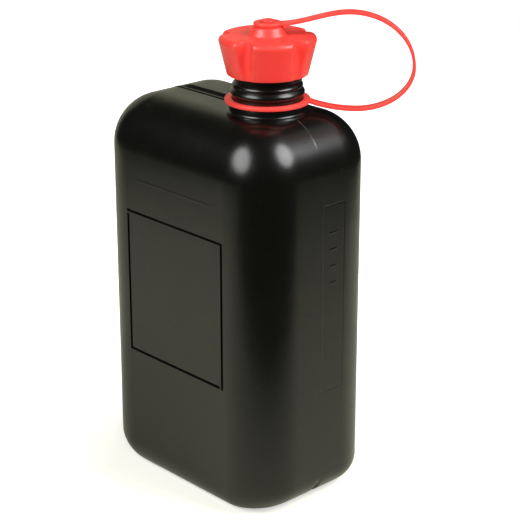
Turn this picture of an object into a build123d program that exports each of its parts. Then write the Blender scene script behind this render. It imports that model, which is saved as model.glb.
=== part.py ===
from build123d import *
import os
from math import cos, radians, sin

# Fuel can, about two litres, in millimetres.
# X runs along the can's width, Y through its thickness, Z up from the surface it stands on.
# The label face looks towards -Y, and the neck stands near the +X end of the top.

os.makedirs("parts", exist_ok=True)

# Shell of the can
body_width = 132.0
body_depth = 89.0
body_height = 214.0
wall = 1.8
corner_radius = 27.5
shoulder_step = 0.3
foot_height = 16.0
foot_end_reach = 22.0
foot_side_reach = 11.0
foot_steps = 5
base_rim = 5.0
base_band = 16.0
base_rise = 1.5
base_slope = 45
tray_corner = 8.0
base_groove_width = 4.5
base_groove_depth = 1.0

# Pinch-off groove in the top, its weld ridge, and the parting line round the can
groove_width = 11.0
groove_depth = 2.2
weld_width = 1.4
weld_height = 0.8
seam_width = 0.6
seam_height = 0.2

# Label frame engraved in the front face, and a fine raised line above it
label_inset = 1.0
label_drop = 33.0
label_height = 81.0
label_line = 1.4
label_depth = 0.5
label_gap = 1.2
brow_length = 58.6
brow_drop = 14.5
brow_line = 0.8
brow_height = 0.2

# Level panel sunk in the +X end, behind the parting line
panel_drop = 16.3
panel_height = 104.5
panel_corner = 4.0
panel_depth = 0.35
tick_count = 4
tick_length = 5.0
tick_width = 1.2
tick_pitch = 9.3
tick_rise = 61.0

# Neck
neck_x = 24.8
core_radius = 17.1
neck_wall = 2.2
rim_height = 35.5
rim_chamfer = 0.6
seat_step = 1.2
seat_height = 3.2
ledge_width = 1.7
root_height = 4.3
root_fillet = 1.6
low_bead_step = 1.1
low_bead_height = 4.4
waist_step = 0.8
high_bead_step = 1.5
high_bead_height = 3.0
thread_depth = 1.4

# Screw cap
thread_clearance = 0.4
cap_height = 22.8
cap_top_thickness = 3.1
skirt_wall = 2.4
skirt_chamfer = 0.7
grip_flare = 4.0
grip_drop = 4.3
crown_inset = 2.9
lobe_count = 5
valley_wall = 2.1
valley_scoop = 4.4
boss_base_radius = 9.6
boss_top_radius = 7.8
boss_height = 4.5
stem_radius = 2.6
head_overlap = 0.8
head_height = 1.0
head_chamfer = 0.6

# Gasket
seal_gap = 0.3
seal_thickness = 1.9
seal_overhang = 2.4
seal_side_gap = 0.4

# Retaining strap
strap_gap = 0.3
ring_width = 3.7
ring_thickness = 1.9
eye_radius = 7.3
eye_thickness = 1.8
strap_width = 6.5
strap_thickness = 1.6
strap_heading = 44.0
loop_low_x = 45.5
loop_far_x = 75.2
loop_high_x = 42.0
loop_drop = 4.4
loop_rise = 4.6
loop_middle_above_ring = 17.8
ring_slope = -0.35
strap_root = 2.0

# Heights and radii that follow from the sizes above
shoulder_radius = corner_radius - shoulder_step
shoulder_z = body_height - shoulder_radius
tray_far_x = body_width / 2 - foot_end_reach - base_rim
tray_width = tray_far_x - base_band / 2
tray_middle_x = (tray_far_x + base_band / 2) / 2
tray_depth = body_depth - 2 * (foot_side_reach + base_rim)
label_width = body_width - 2 * corner_radius - 2 * label_inset
label_centre_z = shoulder_z - label_drop - label_height / 2
brow_z = shoulder_z - brow_drop
panel_width = body_depth / 2 - corner_radius
panel_top_z = shoulder_z - panel_drop
panel_bottom_z = panel_top_z - panel_height
tick_first_z = panel_bottom_z + tick_rise
bore_radius = core_radius - neck_wall
seat_radius = core_radius + seat_step
root_radius = seat_radius + ledge_width
low_bead_radius = seat_radius + low_bead_step
waist_radius = core_radius + waist_step
high_bead_radius = core_radius + high_bead_step
ledge_z = body_height + root_height
seat_top_z = ledge_z + seat_height
low_bead_top_z = seat_top_z + low_bead_height
high_bead_top_z = low_bead_top_z + high_bead_height
rim_z = body_height + rim_height
seal_z = rim_z + seal_gap
cap_ceiling_z = seal_z + seal_thickness
cap_top_z = cap_ceiling_z + cap_top_thickness
cap_bottom_z = cap_top_z - cap_height
cap_bore_radius = core_radius + thread_depth + thread_clearance
skirt_radius = cap_bore_radius + skirt_wall
grip_radius = skirt_radius + grip_flare
crown_radius = grip_radius - crown_inset
valley_radius = cap_bore_radius + valley_wall
head_radius = stem_radius + strap_gap + head_overlap
seal_inner_radius = bore_radius - seal_overhang
ring_outer_radius = seat_radius + strap_gap + ring_width
boss_top_z = cap_top_z + boss_height
eye_z = boss_top_z + strap_gap
head_z = eye_z + eye_thickness + strap_gap
ring_z = ledge_z + strap_gap
ring_middle_z = ring_z + ring_thickness / 2
eye_middle_z = eye_z + eye_thickness / 2

# Round troughs of these radii have the grooves' widths and depths at the top and the base.
trough_radius = (groove_width**2 / 4 + groove_depth**2) / (2 * groove_depth)
trough_axis_z = body_height - groove_depth + trough_radius
base_trough_radius = (base_groove_width**2 / 4 + base_groove_depth**2) / (2 * base_groove_depth)

neck_plane = Plane(origin=(neck_x, 0, 0), x_dir=(1, 0, 0), z_dir=(0, -1, 0))
neck_axis = Axis((neck_x, 0, 0), (0, 0, 1))
loop_plane = neck_plane.rotated((0, 0, strap_heading))
trough_plane = Plane.YZ.offset(-body_width / 2)
trough_length = body_width / 2 + neck_x - seat_radius


# The foot rounds in farther at the ends than at the front and back, so it is lofted through outlines.
def foot_outlines(inset):
    outlines = []
    for step in range(foot_steps + 1):
        turn = radians(90 * step / foot_steps)
        tuck = 1 - sin(turn)
        end_reach = (foot_end_reach - inset) * tuck
        side_reach = (foot_side_reach - inset) * tuck
        with BuildSketch(Plane.XY.offset(inset + (foot_height - inset) * (1 - cos(turn)))) as outline:
            RectangleRounded(
                body_width - 2 * (inset + end_reach),
                body_depth - 2 * (inset + side_reach),
                corner_radius - inset - (end_reach + side_reach) / 2,
            )
        outlines.append(outline.sketch)
    return outlines


# The room inside the can, a wall's thickness inside the outer form
with BuildPart() as cavity:
    loft(foot_outlines(wall))
    with BuildSketch(Plane.XY.offset(foot_height)):
        RectangleRounded(body_width - 2 * wall, body_depth - 2 * wall, corner_radius - wall)
    extrude(amount=body_height - wall - foot_height)
    fillet(cavity.edges().group_by(Axis.Z)[-1], radius=shoulder_radius - wall)
    # The top is lower under the pinch-off groove.
    with BuildSketch(trough_plane):
        with Locations((0, trough_axis_z)):
            Circle(trough_radius + wall)
    extrude(amount=trough_length, mode=Mode.SUBTRACT)
    # The floor is higher over the trays in the base.
    with BuildSketch(Plane.XY):
        Rectangle(2 * tray_far_x + wall, tray_depth + wall)
    extrude(amount=base_rise + wall, mode=Mode.SUBTRACT)


with BuildPart() as can_body:
    # Outer form: the foot, the walls above it, and the round shoulder
    loft(foot_outlines(0))
    with BuildSketch(Plane.XY.offset(foot_height)):
        RectangleRounded(body_width, body_depth, corner_radius)
    extrude(amount=body_height - foot_height)
    fillet(can_body.edges().group_by(Axis.Z)[-1], radius=shoulder_radius)

    # Parting line: a thin fin in the middle plane, over the top and down both ends
    with BuildSketch(Plane.XZ):
        with BuildLine():
            fin_x = body_width / 2 + seam_height
            fin_z = body_height + seam_height
            arc_x = body_width / 2 - shoulder_radius
            foot_x = body_width / 2 - foot_end_reach
            foot_fin = foot_end_reach + seam_height
            Line((-foot_x, 0), (foot_x, 0))
            EllipticalCenterArc((foot_x, foot_height), foot_fin, foot_height, -90)
            Line((fin_x, foot_height), (fin_x, shoulder_z))
            CenterArc((arc_x, shoulder_z), shoulder_radius + seam_height, 0, 90)
            Line((arc_x, fin_z), (-arc_x, fin_z))
            CenterArc((-arc_x, shoulder_z), shoulder_radius + seam_height, 90, 90)
            Line((-fin_x, shoulder_z), (-fin_x, foot_height))
            EllipticalCenterArc((-foot_x, foot_height), foot_fin, foot_height, 180)
        make_face()
    extrude(amount=seam_width / 2, both=True)

    # Pinch-off groove from the -X shoulder to the neck, with the weld ridge along its bottom
    with BuildSketch(trough_plane):
        with Locations((0, trough_axis_z)):
            Circle(trough_radius)
    extrude(amount=trough_length, mode=Mode.SUBTRACT)
    weld_length = body_width / 2 - shoulder_radius + neck_x
    with BuildSketch(Plane.YZ.offset(neck_x - weld_length)):
        with Locations((0, body_height - groove_depth)):
            Rectangle(weld_width, 2 * weld_height)
    extrude(amount=weld_length)

    # Base: two shallow trays with a flat band between them, inside the rim that the can stands on
    with BuildSketch(Plane.XY):
        with Locations((-tray_middle_x, 0), (tray_middle_x, 0)):
            RectangleRounded(tray_width, tray_depth, tray_corner)
    extrude(amount=base_rise, taper=base_slope, mode=Mode.SUBTRACT)

    # Pinch-off grooves that nick the rim at both ends
    with BuildSketch(trough_plane, Plane.YZ.offset(tray_far_x - base_rise)):
        with Locations((0, base_groove_depth - base_trough_radius)):
            Circle(base_trough_radius)
    extrude(amount=body_width / 2 - tray_far_x + base_rise, mode=Mode.SUBTRACT)

    # Neck: root, seat for the strap's ring, two beads and the plain core under the cap
    with BuildSketch(neck_plane):
        with BuildLine():
            Polyline((0, body_height - wall), (root_radius + root_fillet, body_height - wall))
            Line(
                (root_radius + root_fillet, body_height - wall),
                (root_radius + root_fillet, body_height),
            )
            RadiusArc(
                (root_radius + root_fillet, body_height),
                (root_radius, body_height + root_fillet),
                root_fillet,
            )
            Polyline(
                (root_radius, body_height + root_fillet),
                (root_radius, ledge_z),
                (seat_radius, ledge_z),
                (seat_radius, seat_top_z),
            )
            ThreePointArc(
                (seat_radius, seat_top_z),
                (low_bead_radius, seat_top_z + low_bead_height / 2),
                (waist_radius, low_bead_top_z),
            )
            ThreePointArc(
                (waist_radius, low_bead_top_z),
                (high_bead_radius, low_bead_top_z + high_bead_height / 2),
                (core_radius, high_bead_top_z),
            )
            Polyline(
                (core_radius, high_bead_top_z),
                (core_radius, rim_z - rim_chamfer),
                (core_radius - rim_chamfer, rim_z),
                (0, rim_z),
                (0, body_height - wall),
            )
        make_face()
    revolve(axis=neck_axis)

    # The inside: the room of the can and the bore of the neck
    add(cavity.part, mode=Mode.SUBTRACT)
    with BuildSketch(Plane.XY.offset(body_height - shoulder_radius)):
        with Locations((neck_x, 0)):
            Circle(bore_radius)
    extrude(until=Until.LAST, mode=Mode.SUBTRACT)

    # Label frame: an engraved line with a break in it at two opposite corners
    label_gap_x = (label_width - label_line - label_gap) / 2
    with BuildSketch(Plane.XZ.offset(body_depth / 2)):
        with Locations((0, label_centre_z)):
            Rectangle(label_width + label_line, label_height + label_line)
            Rectangle(label_width - label_line, label_height - label_line, mode=Mode.SUBTRACT)
            with Locations((-label_gap_x, label_height / 2), (label_gap_x, -label_height / 2)):
                Rectangle(label_gap, label_line, mode=Mode.SUBTRACT)
    extrude(amount=-label_depth, mode=Mode.SUBTRACT)

    # Fine raised line across the face above the frame
    with BuildSketch(Plane.XZ.offset(body_depth / 2)):
        with Locations((0, brow_z)):
            Rectangle(brow_length, brow_line)
    extrude(amount=brow_height)

    # Level panel: a shallow recess with one cut corner, and plain raised ticks for the level
    with BuildSketch(Plane.YZ.offset(body_width / 2)):
        with BuildLine():
            Polyline(
                (seam_width / 2, panel_bottom_z),
                (panel_width, panel_bottom_z),
                (panel_width, panel_top_z),
                (panel_corner, panel_top_z),
                (seam_width / 2, panel_top_z - panel_corner),
                close=True,
            )
        make_face()
    extrude(amount=-panel_depth, mode=Mode.SUBTRACT)
    with BuildSketch(Plane.YZ.offset(body_width / 2 - panel_depth)):
        with Locations((panel_width / 2, tick_first_z + (tick_count - 1) * tick_pitch / 2)):
            with GridLocations(0, tick_pitch, 1, tick_count):
                Rectangle(tick_length, tick_width)
    extrude(amount=panel_depth)

can_body.part.label = "can_body"
export_step(can_body.part, "parts/can_body.step")


with BuildPart() as screw_cap:
    # Turned form: tapered skirt, sloping crown edge, flat top, boss, and the button above it
    with BuildSketch(neck_plane):
        with BuildLine():
            Polyline(
                (0, cap_bottom_z),
                (skirt_radius - skirt_chamfer, cap_bottom_z),
                (skirt_radius, cap_bottom_z + skirt_chamfer),
                (grip_radius, cap_top_z - grip_drop),
                (crown_radius, cap_top_z),
                (boss_base_radius, cap_top_z),
                (boss_top_radius, boss_top_z),
                (stem_radius, boss_top_z),
                (stem_radius, head_z),
                (head_radius, head_z),
            )
            Polyline(
                (head_radius, head_z),
                (head_radius, head_z + head_height - head_chamfer),
                (head_radius - head_chamfer, head_z + head_height),
                (0, head_z + head_height),
                (0, cap_bottom_z),
            )
        make_face()
    revolve(axis=neck_axis)

    # Valleys between the grip lobes, deep at the crown and shallow at the skirt's bottom
    with BuildSketch(Plane.XY.offset(cap_bottom_z)):
        with Locations((neck_x, 0)):
            with PolarLocations(valley_radius + valley_scoop, lobe_count):
                Circle(valley_scoop)
    extrude(amount=cap_height, mode=Mode.SUBTRACT)

    # Hollow of the cap, which goes over the neck's thread
    with BuildSketch(Plane.XY.offset(cap_bottom_z)):
        with Locations((neck_x, 0)):
            Circle(cap_bore_radius)
    extrude(amount=cap_ceiling_z - cap_bottom_z, mode=Mode.SUBTRACT)

screw_cap.part.label = "screw_cap"
export_step(screw_cap.part, "parts/screw_cap.step")


with BuildPart() as cap_seal:
    with BuildSketch(Plane.XY.offset(seal_z)):
        with Locations((neck_x, 0)):
            Circle(cap_bore_radius - seal_side_gap)
            Circle(seal_inner_radius, mode=Mode.SUBTRACT)
    extrude(amount=seal_thickness)

cap_seal.part.label = "cap_seal"
export_step(cap_seal.part, "parts/cap_seal.step")


with BuildPart() as retaining_strap:
    # Ring round the neck's seat
    with BuildSketch(Plane.XY.offset(ring_z)):
        with Locations((neck_x, 0)):
            Circle(ring_outer_radius)
            Circle(seat_radius + strap_gap, mode=Mode.SUBTRACT)
    extrude(amount=ring_thickness)

    # Eye round the cap's button
    with BuildSketch(Plane.XY.offset(eye_z)):
        with Locations((neck_x, 0)):
            Circle(eye_radius)
            Circle(stem_radius + strap_gap, mode=Mode.SUBTRACT)
    extrude(amount=eye_thickness)

    # Band: one flat strip that leaves the ring, sags, bows out past the can and comes back to the eye
    low_z = ring_middle_z - loop_drop
    far_z = ring_middle_z + loop_middle_above_ring
    high_z = eye_middle_z + loop_rise
    with BuildSketch(loop_plane):
        with BuildLine():
            Spline(
                (ring_outer_radius - strap_root, ring_middle_z),
                (loop_low_x, low_z),
                tangents=((1, ring_slope), (1, 0)),
            )
            EllipticalCenterArc((loop_low_x, far_z), loop_far_x - loop_low_x, far_z - low_z, -90)
            EllipticalCenterArc((loop_high_x, far_z), loop_far_x - loop_high_x, high_z - far_z)
            Spline(
                (loop_high_x, high_z),
                (eye_radius - strap_root, eye_middle_z),
                tangents=((-1, 0), (-1, 0)),
            )
        trace(line_width=strap_thickness)
    extrude(amount=strap_width / 2, both=True)

retaining_strap.part.label = "retaining_strap"
export_step(retaining_strap.part, "parts/retaining_strap.step")
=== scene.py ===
import math

import bmesh
import bpy
from bpy.props import FloatProperty, FloatVectorProperty, IntProperty, PointerProperty
from mathutils import Matrix, Quaternion, Vector


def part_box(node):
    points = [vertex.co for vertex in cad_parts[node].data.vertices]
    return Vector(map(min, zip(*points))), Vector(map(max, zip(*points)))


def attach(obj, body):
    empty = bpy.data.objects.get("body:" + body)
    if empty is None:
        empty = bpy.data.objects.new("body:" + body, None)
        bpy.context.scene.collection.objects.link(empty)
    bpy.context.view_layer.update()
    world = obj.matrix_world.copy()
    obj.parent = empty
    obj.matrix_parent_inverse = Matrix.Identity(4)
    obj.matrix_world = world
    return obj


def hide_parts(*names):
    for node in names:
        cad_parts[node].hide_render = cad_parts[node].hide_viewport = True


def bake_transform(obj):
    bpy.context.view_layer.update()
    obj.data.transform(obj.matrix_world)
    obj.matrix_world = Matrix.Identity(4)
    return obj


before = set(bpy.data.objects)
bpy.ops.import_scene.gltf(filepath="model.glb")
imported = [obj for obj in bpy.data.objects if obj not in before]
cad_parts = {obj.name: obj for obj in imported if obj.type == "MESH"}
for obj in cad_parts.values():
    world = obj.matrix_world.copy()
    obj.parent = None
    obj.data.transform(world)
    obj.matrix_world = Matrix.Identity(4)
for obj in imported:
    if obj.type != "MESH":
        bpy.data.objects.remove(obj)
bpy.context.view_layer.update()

bl_info = {
    "name": "Fuel Can",
    "version": (1, 0, 0),
    "blender": (4, 5, 0),
    "location": "3D View > Sidebar > Fuel Can",
    "description": "A small blow-moulded fuel can with a screw cap and its retaining strap",
    "category": "Object",
}

MM = 0.001
TAU = 2 * math.pi
# Edges that turn by more degrees than this stay crisp.
SHARP = 34

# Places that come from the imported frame
SEAL_LOW, SEAL_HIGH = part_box("cap_seal")
RIM_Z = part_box("can_body")[1].z
CAP_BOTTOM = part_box("screw_cap")[0].z + 1.2 * MM
NECK_X = (SEAL_LOW.x + SEAL_HIGH.x) / 2
CROWN_Z = SEAL_HIGH.z + 1.9 * MM
BOSS_TOP = CROWN_Z + 4.5 * MM

# The parting line is full above the second height and trimmed close below the first.
TRIM_LOW, TRIM_HIGH = 202 * MM, 203.5 * MM

# Directions round the can in degrees, from the label face's towards the neck's end
CAMERA_AZIMUTH = 47.78
PAPER_AZIMUTH = 62

# A Mix node's colour sockets, which share their names with its number and vector sockets
COLOUR_A, COLOUR_B, MIXED = 6, 7, 2


def linear(hex_colour):
    """An sRGB hex colour as linear RGBA."""
    parts = [int(hex_colour[i : i + 2], 16) / 255 for i in (0, 2, 4)]
    return tuple(c / 12.92 if c <= 0.04045 else ((c + 0.055) / 1.055) ** 2.4 for c in parts) + (1.0,)


def dimmed(shade, share):
    """A colour made darker or lighter by a share."""
    return [c * share for c in shade[:3]] + [1.0]


def clamped(value):
    """A value kept between 0 and 1."""
    return min(max(value, 0.0), 1.0)


def smooth_step(low, high, value):
    """0 below low, 1 above high, and a smooth rise between them."""
    share = clamped((value - low) / (high - low))
    return share * share * (3 - 2 * share)


def smooth_least(a, b, blend):
    """The smaller of two lengths, rounded over where they are nearly equal."""
    share = max(blend - abs(a - b), 0.0) / blend
    return min(a, b) - share * share * blend / 4


def length(name, description, millimetres):
    """A length that a user can change."""
    return FloatProperty(name=name, description=description, default=millimetres * MM, unit="LENGTH")


def colour(name, description, hex_colour):
    """A colour that a user can change."""
    return FloatVectorProperty(name=name, description=description, default=linear(hex_colour), size=4, subtype="COLOR")


class ShellSettings(bpy.types.PropertyGroup):
    width: length("Width", "Outside width of the body", 132)
    depth: length("Depth", "Outside thickness of the body", 89)
    height: length("Height", "Height of the body's top", 214)
    corner: length("Corner radius", "Radius of the upright corners and the shoulder", 27.5)
    foot_height: length("Foot height", "Height of the rounded foot", 16)
    foot_end: length("Foot reach, ends", "How far the foot rounds in at the ends", 22)
    foot_side: length("Foot reach, faces", "How far the foot rounds in at the faces", 11)
    wall: length("Wall", "Thickness of the moulded wall", 1.8)
    groove_width: length("Groove width", "Width of the pinch-off groove in the top", 8.5)
    groove_depth: length("Groove depth", "Depth of the pinch-off groove in the top", 1.7)
    weld_height: length("Weld ridge", "Height of the weld ridge in the groove", 0.8)
    seam_height: length("Parting line", "Height of the parting line's fin", 0.24)
    nick_width: length("Nick width", "Width of the nick in the foot's ends", 5)
    nick_depth: length("Nick depth", "Depth of the nick in the foot's ends", 3.4)
    tray_inset: length("Tray inset", "Flat rim of the base round its two trays", 5)
    tray_rise: length("Tray rise", "Rise of the two trays in the base", 1.5)
    tray_apart: length("Tray band", "Half width of the flat band between the trays", 8)
    label_width: length("Label width", "Width of the label frame", 75)
    label_height: length("Label height", "Height of the label frame", 81)
    label_middle: length("Label middle", "Height of the label frame's middle", 113.3)
    label_line: length("Label line", "Width of the engraved line", 1.5)
    label_depth: length("Label depth", "Depth of the engraved line", 1.2)
    label_gap: length("Label gap", "Break in the line at two corners", 1.2)
    brow_length: length("Brow length", "Length of the fine raised line above the label", 58.6)
    brow_z: length("Brow height", "Height of the fine raised line above the label", 172.3)
    panel_low: length("Panel bottom", "Bottom of the level panel", 66)
    panel_high: length("Panel top", "Top of the level panel", 170.5)
    panel_depth: length("Panel depth", "Depth of the level panel", 0.14)


class NeckSettings(bpy.types.PropertyGroup):
    core: length("Core radius", "Radius of the neck under its thread", 17.1)
    bore: length("Bore radius", "Radius of the neck's hole", 14.9)
    seat: length("Seat radius", "Radius where the strap's ring lies", 18.3)
    root: length("Root radius", "Radius of the neck's root", 20)
    flare: length("Root flare", "Radius of the hollow between the root and the top", 1.6)
    root_height: length("Root height", "Height of the ledge over the top", 4.3)
    seat_height: length("Seat height", "Height of the seat over the ledge", 3.8)
    low_bead: length("Low bead", "Height of the low bead", 4.4)
    low_bead_radius: length("Low bead radius", "Radius at the low bead's crest", 19.4)
    high_bead: length("High bead", "Height of the high bead", 3)
    high_bead_radius: length("High bead radius", "Radius at the high bead's crest", 18.4)
    thread_depth: length("Thread depth", "How far the thread stands out", 1.4)
    thread_foot: length("Thread foot", "Width of the thread's foot", 2.9)
    thread_crest: length("Thread crest", "Width of the thread's crest", 1.1)
    pitch: length("Thread pitch", "Rise of the thread in one turn", 5)
    turns: FloatProperty(name="Thread turns", description="Number of turns of the thread", default=3.6, min=1)


class CapSettings(bpy.types.PropertyGroup):
    skirt: length("Skirt radius", "Radius at the cap's bottom", 21.3)
    grip: length("Grip radius", "Largest radius of the lobes", 25.3)
    lip: length("Lip", "Radius of the lobes' rounded tops", 2.6)
    bore: length("Bore radius", "Radius of the cap's hollow", 18.9)
    lobes: IntProperty(name="Lobes", description="Number of grip lobes", default=5, min=3)
    valley: length("Valley radius", "Radius at a valley's bottom", 21.3)
    scoop: length("Valley scoop", "Radius of a valley's round bottom", 3.1)
    seal_hole: length("Gasket hole", "Radius of the gasket's hole", 12.5)


class StrapSettings(bpy.types.PropertyGroup):
    band_width: length("Band width", "Width of the strap's band", 6.5)
    band_thickness: length("Band thickness", "Thickness of the strap's band", 1.6)
    heading: FloatProperty(
        name="Heading", description="Direction of the loop from the width", default=math.radians(44), subtype="ANGLE"
    )
    ring_height: length("Ring height", "Height of the ring over the top", 4.6)
    ring_thickness: length("Ring thickness", "Thickness of the ring", 1.9)
    ring_radius: length("Ring radius", "Outside radius of the ring", 22.3)
    ring_hole: length("Ring hole", "Radius of the ring's hole", 18.6)
    eye_height: length("Eye height", "Height of the eye over the boss", 0.3)
    eye_thickness: length("Eye thickness", "Thickness of the eye", 1.8)
    eye_radius: length("Eye radius", "Outside radius of the eye", 7.3)
    eye_hole: length("Eye hole", "Radius of the eye's hole", 2.9)
    low_x: length("Loop's low place", "Distance of the loop's lowest point from the neck", 45.5)
    far_x: length("Loop's reach", "Distance of the loop's farthest point from the neck", 75.2)
    high_x: length("Loop's high place", "Distance of the loop's highest point from the neck", 42)
    drop: length("Loop drop", "How far the loop sags under the ring", 4.4)
    middle: length("Loop middle", "Height of the loop's farthest point over the ring", 17.8)
    rise: length("Loop rise", "How far the loop rises over the eye", 6.4)


class FinishSettings(bpy.types.PropertyGroup):
    can_colour: colour("Can colour", "Colour of the moulded can", "080806")
    cap_colour: colour("Cap colour", "Colour of the cap", "FD443C")
    strap_colour: colour("Strap colour", "Colour of the strap", "FC4A41")
    seal_colour: colour("Seal colour", "Colour of the gasket", "1A1A1A")


def node(tree, kind, inputs=(), **settings):
    """Adds a node with its settings, and gives its inputs their values or links them from other nodes' outputs."""
    made = tree.nodes.new(kind)
    for name, value in settings.items():
        setattr(made, name, value)
    for name, value in dict(inputs).items():
        if isinstance(value, bpy.types.NodeSocket):
            tree.links.new(value, made.inputs[name])
        else:
            made.inputs[name].default_value = value
    return made


def new_material(name):
    """An empty material, its node tree and the place on the object that its patterns follow."""
    material = bpy.data.materials.new(name)
    material.use_nodes = True
    tree = material.node_tree
    tree.nodes.clear()
    return material, tree, node(tree, "ShaderNodeTexCoord").outputs["Object"]


def blown_hdpe(finish):
    """Black blow-moulded polyethylene: satin, with the grain and slow waves of a mould wall that air pressed it on,
    and a painted highlight on the fin of its parting line.
    """
    material, tree, place = new_material("black_blown_hdpe")
    # The mould is sand-blasted: its grain is about 0.4 mm, drawn at 0.9 mm so that it shows.
    grain = node(tree, "ShaderNodeTexNoise", {"Vector": place, "Scale": 1100.0, "Detail": 2.0, "Roughness": 0.55})
    # Cooling leaves slow waves some 30 mm across.
    waves = node(tree, "ShaderNodeTexNoise", {"Vector": place, "Scale": 34.0, "Detail": 1.0, "Roughness": 0.4})
    # Handling leaves faint rubbed patches some 12 mm across.
    rubbing = node(tree, "ShaderNodeTexNoise", {"Vector": place, "Scale": 85.0, "Detail": 4.0, "Roughness": 0.6})
    rubbed = rubbing.outputs["Fac"]
    gloss = node(tree, "ShaderNodeMapRange", {
        "Value": rubbed, "From Min": 0.35, "From Max": 0.75, "To Min": 0.24, "To Max": 0.28,
    })
    tone = node(tree, "ShaderNodeMix", {
        "Factor": rubbed, COLOUR_A: finish.can_colour, COLOUR_B: dimmed(finish.can_colour, 1.35),
    }, data_type="RGBA")
    # Painted highlight: the parting line's fin is painted paler, 0.9 mm wide, on the shoulder at the neck's end, for
    # the glint of the lamps on it.
    axes = node(tree, "ShaderNodeSeparateXYZ", {"Vector": place}).outputs
    aside = node(tree, "ShaderNodeMath", {0: axes["Y"]}, operation="ABSOLUTE").outputs[0]
    painted_fin_highlight = 1.0
    for along, outside, inside in (
        (aside, 0.45 * MM, 0.2 * MM), (axes["X"], 46.5 * MM, 47.5 * MM), (axes["Z"], TRIM_LOW, TRIM_HIGH),
    ):
        near = node(tree, "ShaderNodeMapRange", {"Value": along, "From Min": outside, "From Max": inside})
        both = node(tree, "ShaderNodeMath", {0: painted_fin_highlight, 1: near.outputs["Result"]}, operation="MULTIPLY")
        painted_fin_highlight = both.outputs[0]
    tone = node(tree, "ShaderNodeMix", {
        "Factor": painted_fin_highlight, COLOUR_A: tone.outputs[MIXED], COLOUR_B: linear("363631"),
    }, data_type="RGBA")
    slow = node(tree, "ShaderNodeBump", {"Height": waves.outputs["Fac"], "Strength": 0.35, "Distance": 0.4 * MM})
    fine = node(tree, "ShaderNodeBump", {
        "Height": grain.outputs["Fac"], "Normal": slow.outputs["Normal"], "Strength": 0.12, "Distance": 0.06 * MM,
    })
    shader = node(tree, "ShaderNodeBsdfPrincipled", {
        "Base Color": tone.outputs[MIXED], "Roughness": gloss.outputs["Result"], "Normal": fine.outputs["Normal"],
        "IOR": 1.5,
    })
    node(tree, "ShaderNodeOutputMaterial", {"Surface": shader.outputs["BSDF"]})
    return material


def moulded_red(name, shade, roughness):
    """Bright red injection-moulded polyethylene: a soft waxy gloss over a colour that light enters a little way."""
    material, tree, place = new_material(name)
    # Flow marks and fingerprints change the gloss over some 4 mm.
    marks = node(tree, "ShaderNodeTexNoise", {"Vector": place, "Scale": 240.0, "Detail": 3.0, "Roughness": 0.6})
    # The polished mould's own grain is too fine to show and is drawn at 0.7 mm.
    grain = node(tree, "ShaderNodeTexNoise", {"Vector": place, "Scale": 1500.0, "Detail": 2.0})
    gloss = node(tree, "ShaderNodeMapRange", {
        "Value": marks.outputs["Fac"], "From Min": 0.3, "From Max": 0.7,
        "To Min": roughness - 0.05, "To Max": roughness + 0.07,
    })
    tone = node(tree, "ShaderNodeMix", {
        "Factor": marks.outputs["Fac"], COLOUR_A: dimmed(shade, 0.92), COLOUR_B: shade,
    }, data_type="RGBA")
    bump = node(tree, "ShaderNodeBump", {"Height": grain.outputs["Fac"], "Strength": 0.2, "Distance": 0.05 * MM})
    shader = node(tree, "ShaderNodeBsdfPrincipled", {
        "Base Color": tone.outputs[MIXED], "Roughness": gloss.outputs["Result"], "Normal": bump.outputs["Normal"],
        "IOR": 1.5, "Subsurface Weight": 0.12, "Subsurface Radius": (1.0, 0.25, 0.15), "Subsurface Scale": 1.2 * MM,
    })
    node(tree, "ShaderNodeOutputMaterial", {"Surface": shader.outputs["BSDF"]})
    return material


def seal_rubber(finish):
    """Dark fuel-proof nitrile rubber, moulded flat: dull, with a faint even grain."""
    material, tree, place = new_material("nitrile_rubber")
    # The moulded rubber's own grain is finer and is drawn at about 1 mm so that it shows.
    grain = node(tree, "ShaderNodeTexNoise", {"Vector": place, "Scale": 900.0, "Detail": 2.0})
    tone = node(tree, "ShaderNodeMix", {
        "Factor": grain.outputs["Fac"], COLOUR_A: finish.seal_colour, COLOUR_B: dimmed(finish.seal_colour, 1.5),
    }, data_type="RGBA")
    bump = node(tree, "ShaderNodeBump", {"Height": grain.outputs["Fac"], "Strength": 0.2, "Distance": 0.05 * MM})
    shader = node(tree, "ShaderNodeBsdfPrincipled", {
        "Base Color": tone.outputs[MIXED], "Normal": bump.outputs["Normal"], "IOR": 1.52, "Roughness": 0.62,
    })
    node(tree, "ShaderNodeOutputMaterial", {"Surface": shader.outputs["BSDF"]})
    return material


def add_face(mesh, *corners):
    """A face through its corners, where one that is given twice counts once."""
    mesh.faces.new(list(dict.fromkeys(corners)))


def as_mesh(name, built):
    """A finished bmesh as a named mesh."""
    mesh = bpy.data.meshes.new(name)
    built.to_mesh(mesh)
    built.free()
    return mesh


def placed(name, data):
    """A mesh, curve or lamp put into the scene."""
    made = bpy.data.objects.new(name, data)
    bpy.context.scene.collection.objects.link(made)
    return made


def piece(name, mesh, material, body, nodes=()):
    """A finished piece: its mesh gets its material and rides on its body."""
    made = placed(name, mesh)
    mesh.materials.clear()
    mesh.materials.append(material)
    mesh.shade_smooth()
    mesh.set_sharp_from_angle(angle=math.radians(SHARP))
    if body:
        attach(made, body)
    if nodes:
        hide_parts(*nodes)
    return made


def lines(low, high, step, extra):
    """Sorted grid lines from low to high, about a step apart, with the extra lines among them."""
    count = max(int(round((high - low) / step)), 1)
    slack = 1e-9
    fixed = sorted({round(v, 7) for v in extra if low - slack <= v <= high + slack} | {round(low, 7), round(high, 7)})
    even = [low + (high - low) * i / count for i in range(count + 1)]
    kept = [v for v in even if min(abs(v - f) for f in fixed) > 0.45 * step]
    return sorted(fixed + kept)


def step_lines(edge, slope):
    """The grid lines of a step in the surface: its foot, its top and one close beside each keep the flats flat."""
    return [edge + slope * share for share in (-1.0, -0.5, 0.5, 1.0)]


def both_ways(values):
    """The values and their opposites."""
    return values + [-v for v in values]


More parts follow.
